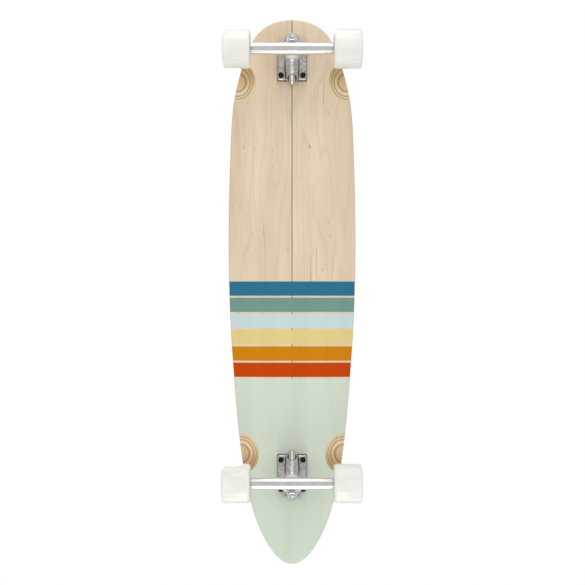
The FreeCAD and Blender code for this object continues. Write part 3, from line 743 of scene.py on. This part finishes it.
# a bar turned through (along, radius) stations, with V threads cut from one place to another:
# radius - depth * pitch * runOut * |2 * frac(along / pitch - turn / 2 pi) - 1|
def threadedGrid(stations, threads, pitch, start, axis):
    places, sizes = np.array(stations).T
    rows = [np.arange(low, high + pitch, pitch / threadLook["rows"]) for low, high in threads]
    along = np.unique(np.clip(np.concatenate([places, *rows]), places[0], places[-1]))
    turn = fullTurn(threadLook["turn"])
    ramps = [np.minimum(along - low, high + pitch - along) / pitch for low, high in threads]
    runOut = np.clip(np.max(ramps, 0), 0, 1)
    wave = np.abs(2 * ((along[:, None] / pitch - turn / (2 * math.pi)) % 1) - 1)
    cut = threadLook["depth"] * pitch * runOut[:, None] * wave
    radius = np.interp(along, places, sizes)[:, None] - cut
    return turnedGrid(radius, along, start, axis, turn)


axleLook = {"chamfer": 0.0008, "thread": 0.0115, "pitch": 0.00106}


# a plain bar, chamfered and threaded at both ends
def makeAxle(end, look):
    low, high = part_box(end + "_axle")
    half = (high.x - low.x) / 2
    radius = (high.z - low.z) / 2
    chamfer, small = look["chamfer"], radius - look["chamfer"]
    stations = [(-half, small), (chamfer - half, radius), (half - chamfer, radius), (half, small)]
    threads = [(-half - look["pitch"], look["thread"] - half), (half - look["thread"], half)]
    middle = ((low + high) / 2)[:]
    grid = threadedGrid(stations, threads, look["pitch"], middle, (1, 0, 0))
    return makePiece(end + "_axle_threaded", [grid], False)


kingpinLook = {"radius": 0.00475, "headRadius": 0.0065, "headLength": 0.0268, "chamfer": 0.0008,
               "thread": 0.0095, "pitch": 0.00106, "edge": 0.0004, "step": 0.000002,
               "dome": (3, 90, 18)}    # degrees from the tip, and rows


# a round-ended head, a step at the seat, then the shank down to its threaded end
def makeKingpin(end, look):
    start, axis = kingpinLine(end)
    low, high = reachAlong(end + "_kingpin", start, axis)
    dome = np.radians(np.linspace(*look["dome"]))
    head, shank = look["headRadius"], look["radius"]
    stations = list(zip(low + head * (1 - np.cos(dome)), head * np.sin(dome)))
    seat = low + look["headLength"]
    stations += [(seat - look["edge"], head), (seat, head - look["edge"]), (seat + look["step"], shank),
                 (high - look["chamfer"], shank), (high, shank - look["chamfer"])]
    grid = threadedGrid(stations, [(high - look["thread"], high)], look["pitch"], start, axis)
    return makePiece(end + "_kingpin_threaded", [grid], False)


boltLook = {"radius": 0.0024, "headRadius": 0.0046, "headHeight": 0.0026, "socketWidth": 0.0032,
            "socketDepth": 0.0018, "thread": 0.0075, "pitch": 0.0008, "chamfer": 0.0004,
            "acrossSpacing": 0.0413,
            "places": {"front": (-0.4558, -0.4018), "rear": (0.3118, 0.3658)}}


# down from the deck's top: a countersunk head with a six-sided socket, whose wall stands at
# width / 2 / cos(angle from the middle of its flat), and a shank threaded at its lower end
def makeBolts(end, look):
    low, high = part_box(end + "_mounting_bolts")
    length = high.z - low.z
    radius, chamfer, down = look["radius"], look["chamfer"], (0, 0, -1)
    stations = [(0, look["headRadius"]), (look["headHeight"], radius),
                (length - chamfer, radius), (length, radius - chamfer)]
    threads = [(length - look["thread"], length)]
    turn = fullTurn(threadLook["turn"])
    sixth = math.pi / 3
    flat = (turn + sixth / 2) % sixth - sixth / 2
    socket = np.repeat((look["socketWidth"] / 2 / np.cos(flat))[None], 2, 0)
    grids = []
    for y in look["places"][end]:
        for side in (-1, 1):
            top = (side * look["acrossSpacing"] / 2, y, high.z)
            shank = threadedGrid(stations, threads, look["pitch"], top, down)
            hollow = turnedGrid(socket, np.array([look["socketDepth"], 0.0]), top, down, turn)
            grids.append(np.concatenate([hollow, shank]))
    return makePiece(end + "_mounting_bolts_threaded", grids, False)


insertLook = {"axleRadius": 0.004, "width": 0.0014, "height": 0.0005, "rows": 12, "turn": 40}


# the nylon ring in a locking nut: radius = bar + width * (1 + cos t) / 2, along = top + height * sin t
def insertGrid(look, barRadius, top, start, axis):
    around = fullTurn(look["rows"])
    radius = barRadius + look["width"] * (1 + np.cos(around)) / 2
    rings = np.repeat(radius[:, None], look["turn"], 1)
    along = top + look["height"] * np.sin(around)
    return turnedGrid(rings, along, start, axis, fullTurn(look["turn"]))


insertPlastic = makeMoulded("nylon insert", softLook["insert"])
for end in truckEnds:
    hanger = end + "_hanger"
    start, axis = kingpinLine(end)
    for node, piece, material, body, slot in (
            (end + "_axle", makeAxle(end, axleLook), zinc, hanger, "axle_steel"),
            (end + "_kingpin", makeKingpin(end, kingpinLook), boltSteel, "deck", "chrome_steel"),
            (end + "_mounting_bolts", makeBolts(end, boltLook), blackSteel, "deck", "black_steel")):
        dress(material, piece)
        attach(piece, body)
        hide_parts(node)
    low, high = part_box(end + "_axle_nuts")
    middle = ((low + high) / 2)[:]
    reach = (high.x - low.x) / 2
    axleGrids = [insertGrid(insertLook, insertLook["axleRadius"], reach, middle, (side, 0, 0))
                 for side in (-1, 1)]
    nutTop = reachAlong(end + "_kingpin_nut", start, axis)[1]
    kingpinGrid = insertGrid(insertLook, kingpinLook["radius"], nutTop, start, axis)
    for name, grids, body in (("_axle_nut_inserts", axleGrids, hanger),
                              ("_kingpin_nut_insert", [kingpinGrid], "deck")):
        piece = makePiece(end + name, grids, True)
        dress(insertPlastic, piece)
        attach(piece, body)
print("threaded bars and nut inserts made")


# stage, light and camera

stageLook = {"reach": 14.0, "solid": 0.9, "gone": 3.4, "tone": card(238, 238, 236),
             "shade": card(230, 230, 228), "cells": (3, 3, 3), "detail": 3.0, "rough": 0.7}


# a pale floor under the wheels, seen only from above, that fades into the white round it
def makeFloor(look):
    reach = look["reach"] / 2
    mesh = bpy.data.meshes.new("floor")
    corners = [(-reach, -reach, 0), (reach, -reach, 0), (reach, reach, 0), (-reach, reach, 0)]
    mesh.from_pydata(corners, [], [(0, 1, 2, 3)])
    floor = bpy.data.objects.new("floor", mesh)
    scene.collection.objects.link(floor)
    material, tree, surface, place = startMaterial("pale floor")
    tone = noise(tree, place, look["cells"], look["detail"])
    plug(tree, surface["Base Color"], mixColour(tree, tone, look["tone"], look["shade"]))
    surface["Roughness"].default_value = look["rough"]
    solid = tree.nodes["Principled BSDF"].outputs[0]
    clear = addNode(tree, "ShaderNodeBsdfTransparent").outputs[0]
    behind = tree.nodes.new("ShaderNodeNewGeometry").outputs["Backfacing"]
    away = vectorCalc(tree, "LENGTH", {0: place}, "Value")
    hidden = calc(tree, "MAXIMUM", behind, fade(tree, away, look["solid"], look["gone"]))
    mixed = addNode(tree, "ShaderNodeMixShader", {0: hidden, 1: solid, 2: clear})
    plug(tree, tree.nodes["Material Output"].inputs["Surface"], mixed.outputs[0])
    mesh.materials.append(material)
    floor.visible_diffuse = floor.visible_glossy = False
    floor.visible_transmission = floor.visible_shadow = False


makeFloor(stageLook)

worldLook = {"fill": 0.845, "topFill": 0.3, "horizon": 0.1, "below": 0.62,
             "bands": [(-0.76, -0.62, 1.0), (-0.45, -0.3, 0.55), (0.0, 0.15, 0.8)]}


# white to the camera; metal sees grey straight below, then bands (from, to, level) up to the sky
def makeWorld(look):
    world = bpy.data.worlds.new("studio")
    scene.world = world
    world.use_nodes = True
    tree = world.node_tree
    back = tree.nodes["Background"].inputs
    direction = tree.nodes.new("ShaderNodeTexCoord").outputs["Generated"]
    height = splitAxes(tree, direction)["Z"]
    shine = look["below"]
    for low, high, level in look["bands"]:
        shine = mixValue(tree, fade(tree, height, low, high), shine, level)
    path = tree.nodes.new("ShaderNodeLightPath").outputs
    mirrored = calc(tree, "MAXIMUM", path["Is Glossy Ray"], path["Is Transmission Ray"])
    above = fade(tree, height, -look["horizon"], look["horizon"])
    fill = spread(tree, above, look["fill"], look["topFill"])
    seen = mixValue(tree, mirrored, fill, shine)
    back["Color"].default_value = (1, 1, 1, 1)
    plug(tree, back["Strength"], mixValue(tree, path["Is Camera Ray"], seen, 1.0))


makeWorld(worldLook)

lampLook = {
    "nose strip": {"at": (0, -2.3, -0.62), "to": (0, -0.1, 0.1), "size": (0.44, 1.9), "power": 7.0},
    "tail strip": {"at": (0, 2.2, -0.62), "to": (0, 0.1, 0.1), "size": (0.44, 1.9), "power": 7.0},
    "nose wheel strip": {"at": (0, -2.4, 0.42), "to": (0, -0.4, 0.04), "size": (2.6, 0.42), "power": 6.5},
    "tail wheel strip": {"at": (0, 2.3, 0.42), "to": (0, 0.4, 0.04), "size": (2.6, 0.42), "power": 6.5},
    "nose key": {"at": (0, -2.6, -1.05), "to": (0, -0.3, 0.1), "size": (0.45, 1.7), "power": 19.0},
    "tail key": {"at": (0, 2.5, -1.05), "to": (0, 0.3, 0.1), "size": (0.45, 1.7), "power": 15.0},
    "top panel": {"at": (-0.9, -1.1, 2.3), "to": (0, 0, 0.1), "size": (1.8, 1.8), "power": 50.0},
}


# the turn that points -Z along a direction, with Y towards up
def lookAlong(direction, up):
    back = -np.array(direction, float) / np.linalg.norm(direction)
    right = np.cross(np.array(up, float), back)
    right /= np.linalg.norm(right)
    axes = np.column_stack([right, np.cross(back, right), back])
    return mathutils.Matrix(axes.tolist()).to_quaternion()


def placeObject(name, data, location, direction, up):
    placed = bpy.data.objects.new(name, data)
    scene.collection.objects.link(placed)
    placed.location = location
    placed.rotation_mode = "QUATERNION"
    placed.rotation_quaternion = lookAlong(direction, up)
    return placed


# strips only show as shine on metal and urethane, keys only light the board and throw its shadows
def makeLamp(name, look):
    lamp = bpy.data.lights.new(name, "AREA")
    lamp.shape = "RECTANGLE"
    lamp.size, lamp.size_y = look["size"]
    lamp.energy = look["power"]
    start, aim = np.array(look["at"], float), np.array(look["to"], float)
    up = (0, 1, 0) if name == "top panel" else (0, 0, 1)
    placed = placeObject(name, lamp, start, aim - start, up)
    placed.visible_camera = False
    placed.visible_diffuse = not name.endswith("strip")
    placed.visible_glossy = not name.endswith("key")


# distance is from the deck, foot is the point the camera stands under, middle is the picture's middle
cameraLook = {"distance": 1.87, "frameWidth": 1.0915, "foot": (0.00085, 0.040),
              "middle": (0.00085, 0.0010), "sensor": 36.0}


def makeCamera(look):
    data = bpy.data.cameras.new("camera")
    data.sensor_width = look["sensor"]
    data.lens = look["sensor"] * look["distance"] / look["frameWidth"]
    data.shift_x = (look["middle"][0] - look["foot"][0]) / look["frameWidth"]
    data.shift_y = (look["foot"][1] - look["middle"][1]) / look["frameWidth"]
    place = (*look["foot"], deckLow.z - look["distance"])
    scene.camera = placeObject("camera", data, place, (0, 0, 1), (0, -1, 0))


for lampName, look in lampLook.items():
    makeLamp(lampName, look)
makeCamera(cameraLook)
print("stage, light and camera set")
